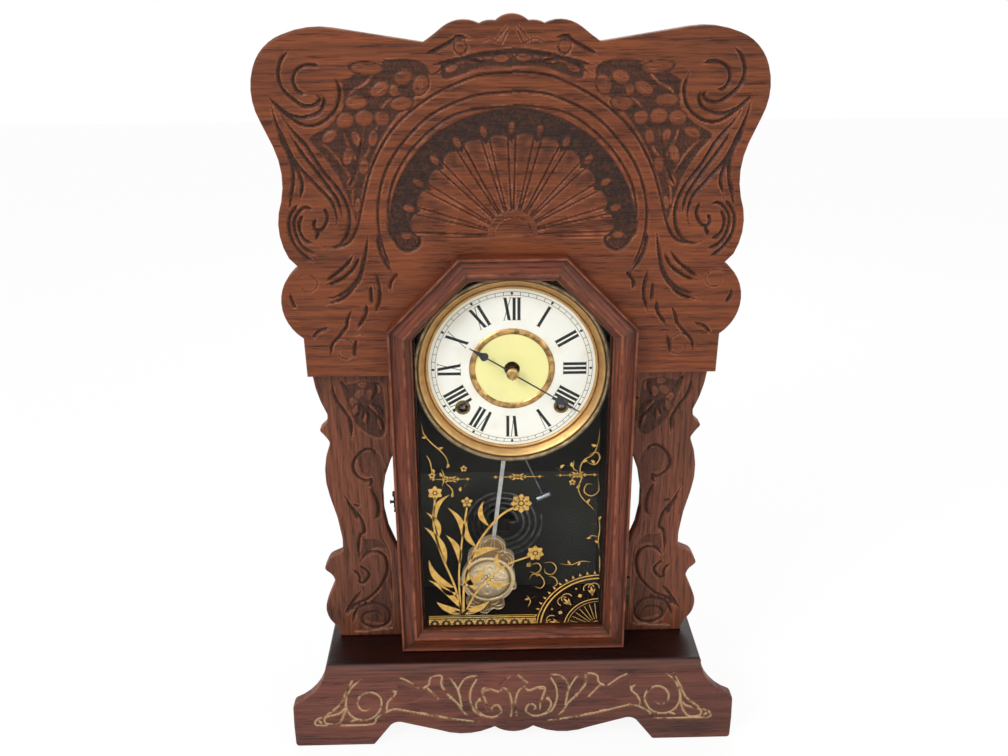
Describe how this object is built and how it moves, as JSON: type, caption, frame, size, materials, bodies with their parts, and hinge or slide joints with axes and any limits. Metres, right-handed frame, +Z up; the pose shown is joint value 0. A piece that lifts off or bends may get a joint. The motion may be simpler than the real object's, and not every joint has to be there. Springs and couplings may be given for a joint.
{
  "type": "gingerbread clock",
  "caption": "Oak shelf clock with a carved crest, side wings, scrolled base, glazed door, Roman dial, spring-driven striking movement, pendulum and coil gong.",
  "frame": {"origin": "centre of the footprint box on the surface that the clock stands on", "axes": "+Z up, -Y towards the viewer of the dial, +X to the viewer's right"},
  "size_m": [0.3872, 0.125, 0.6103],
  "materials": {
    "oak": "varnished",
    "dark_oak": "polished",
    "softwood": "raw",
    "steel": "satin",
    "brass": "satin",
    "bob": "stamped",
    "enamel": "gloss",
    "hands": "blued",
    "iron": "japanned",
    "glass": "clear"
  },
  "bodies": {
    "root": {"base_top_board": "dark_oak", "base_apron": "oak", "base_side_boards": "oak", "glue_blocks": "softwood", "case_side_left": "oak", "case_side_right": "oak", "case_top_board": "oak", "back_board": "softwood", "crest_board": "oak", "wing_left": "oak", "wing_right": "oak", "mounting_blocks": "softwood", "hinge_case_leaves": "brass", "hook_screw": "steel", "dial_plate": "enamel", "dial_bezel": "brass", "dial_ring": "brass", "winding_grommets": "brass", "front_plate": "brass", "back_plate": "brass", "plate_pillars": "steel", "wood_screws": "steel", "mainsprings": "steel", "gong_coil": "steel", "gong_base": "iron"},
    "door": {"door_stile_left": "dark_oak", "door_stile_right": "dark_oak", "door_bottom_rail": "dark_oak", "door_top_rail": "dark_oak", "door_shoulder_rails": "dark_oak", "door_glass": "glass", "glass_beads": "dark_oak", "hinge_door_leaves": "brass", "door_catch_pin": "brass"},
    "hook": {"door_hook": "brass"},
    "centre": {"centre_wheel": "brass", "minute_hand": "hands", "hand_nut": "brass"},
    "minute_work": {"minute_wheel": "brass"},
    "hour": {"hour_wheel": "brass", "hour_hand": "hands"},
    "time_second": {"time_second_wheel": "brass"},
    "time_main": {"time_main_wheel": "brass"},
    "time_third": {"time_third_wheel": "brass"},
    "escape": {"escape_wheel": "brass"},
    "time_arbor": {"time_winding_arbor": "steel"},
    "time_click": {"time_click": "steel"},
    "pin": {"strike_pin_wheel": "brass"},
    "strike_second": {"strike_second_wheel": "brass"},
    "strike_main": {"strike_main_wheel": "brass"},
    "warning": {"warning_wheel": "brass"},
    "fly": {"strike_fly": "brass"},
    "count": {"count_wheel": "brass"},
    "strike_arbor": {"strike_winding_arbor": "steel"},
    "strike_click": {"strike_click": "steel"},
    "pendulum": {"pendulum_rod": "steel", "pendulum_bob": "bob", "suspension_spring": "steel"},
    "verge": {"verge_and_crutch": "steel"},
    "hammer": {"strike_hammer": "steel"}
  },
  "joints": [
    {"name": "door_swing", "type": "hinge", "parent": "root", "child": "door", "pos_m": [0.0988, -0.0318, 0.2672], "axis": [0, 0, 1], "range_deg": [0, 95]},
    {"name": "hook_turn", "type": "hinge", "parent": "root", "child": "hook", "pos_m": [-0.0985, -0.0266, 0.2345], "axis": [1, 0, 0], "range_deg": [-90, 0]},
    {"name": "minute_turn", "type": "hinge", "parent": "root", "child": "centre", "pos_m": [0, 0.02, 0.3425], "axis": [0, 1, 0], "continuous": true},
    {"name": "minute_wheel_turn", "type": "hinge", "parent": "root", "child": "minute_work", "pos_m": [0, -0.003, 0.3533], "axis": [0, 1, 0], "continuous": true},
    {"name": "hour_turn", "type": "hinge", "parent": "root", "child": "hour", "pos_m": [0, -0.007, 0.3425], "axis": [0, 1, 0], "continuous": true},
    {"name": "time_second_turn", "type": "hinge", "parent": "root", "child": "time_second", "pos_m": [0.01859, 0.007, 0.33214], "axis": [0, 1, 0], "continuous": true},
    {"name": "time_main_turn", "type": "hinge", "parent": "root", "child": "time_main", "pos_m": [0.04, 0.012, 0.3095], "axis": [0, 1, 0], "continuous": true},
    {"name": "time_third_turn", "type": "hinge", "parent": "root", "child": "time_third", "pos_m": [-0.01976, 0.033, 0.34127], "axis": [0, 1, 0], "continuous": true},
    {"name": "escape_turn", "type": "hinge", "parent": "root", "child": "escape", "pos_m": [-0.012, 0.001, 0.3245], "axis": [0, 1, 0], "continuous": true},
    {"name": "time_winding", "type": "hinge", "parent": "time_main", "child": "time_arbor", "pos_m": [0.04, 0.01, 0.3095], "axis": [0, 1, 0], "continuous": true},
    {"name": "time_click_lift", "type": "hinge", "parent": "time_main", "child": "time_click", "pos_m": [0.0465, 0.01, 0.32076], "axis": [0, -1, 0], "range_deg": [0, 15]},
    {"name": "pin_wheel_turn", "type": "hinge", "parent": "root", "child": "pin", "pos_m": [0.00671, 0.02, 0.29219], "axis": [0, 1, 0], "continuous": true},
    {"name": "strike_second_turn", "type": "hinge", "parent": "root", "child": "strike_second", "pos_m": [-0.01302, 0.007, 0.29392], "axis": [0, 1, 0], "continuous": true},
    {"name": "strike_main_turn", "type": "hinge", "parent": "root", "child": "strike_main", "pos_m": [-0.04, 0.012, 0.3095], "axis": [0, 1, 0], "continuous": true},
    {"name": "warning_turn", "type": "hinge", "parent": "root", "child": "warning", "pos_m": [0.00671, 0.027, 0.30794], "axis": [0, 1, 0], "continuous": true},
    {"name": "fly_turn", "type": "hinge", "parent": "root", "child": "fly", "pos_m": [-0.00029, 0.013, 0.32007], "axis": [0, 1, 0], "continuous": true},
    {"name": "count_turn", "type": "hinge", "parent": "root", "child": "count", "pos_m": [-0.03627, 0.001, 0.28546], "axis": [0, 1, 0], "continuous": true},
    {"name": "strike_winding", "type": "hinge", "parent": "strike_main", "child": "strike_arbor", "pos_m": [-0.04, 0.01, 0.3095], "axis": [0, 1, 0], "continuous": true},
    {"name": "strike_click_lift", "type": "hinge", "parent": "strike_main", "child": "strike_click", "pos_m": [-0.0335, 0.01, 0.32076], "axis": [0, -1, 0], "range_deg": [0, 15]},
    {"name": "pendulum_swing", "type": "hinge", "parent": "root", "child": "pendulum", "pos_m": [0, -0.004, 0.31], "axis": [0, 1, 0], "range_deg": [-14.3, 0.7], "deforming": ["suspension_spring"]},
    {"name": "verge_rock", "type": "hinge", "parent": "root", "child": "verge", "pos_m": [0, 0.001, 0.31], "axis": [0, 1, 0], "range_deg": [-14.3, 0.7]},
    {"name": "hammer_swing", "type": "hinge", "parent": "root", "child": "hammer", "pos_m": [-0.004, 0.034, 0.2745], "axis": [0, 1, 0], "range_deg": [-10, 0.6]}
  ],
  "couplings": [
    {"joint": "minute_wheel_turn", "follows": "minute_turn", "ratio": -0.33333},
    {"joint": "hour_turn", "follows": "minute_turn", "ratio": 0.083333},
    {"joint": "time_second_turn", "follows": "minute_turn", "ratio": -0.33333},
    {"joint": "time_main_turn", "follows": "minute_turn", "ratio": 0.057143},
    {"joint": "time_third_turn", "follows": "minute_turn", "ratio": -10},
    {"joint": "escape_turn", "follows": "minute_turn", "ratio": 100},
    {"joint": "strike_second_turn", "follows": "pin_wheel_turn", "ratio": -0.2},
    {"joint": "strike_main_turn", "follows": "pin_wheel_turn", "ratio": 0.034286},
    {"joint": "count_turn", "follows": "pin_wheel_turn", "ratio": 0.044444},
    {"joint": "warning_turn", "follows": "pin_wheel_turn", "ratio": -8},
    {"joint": "fly_turn", "follows": "pin_wheel_turn", "ratio": 56},
    {"joint": "verge_rock", "follows": "pendulum_swing", "ratio": 1}
  ]
}
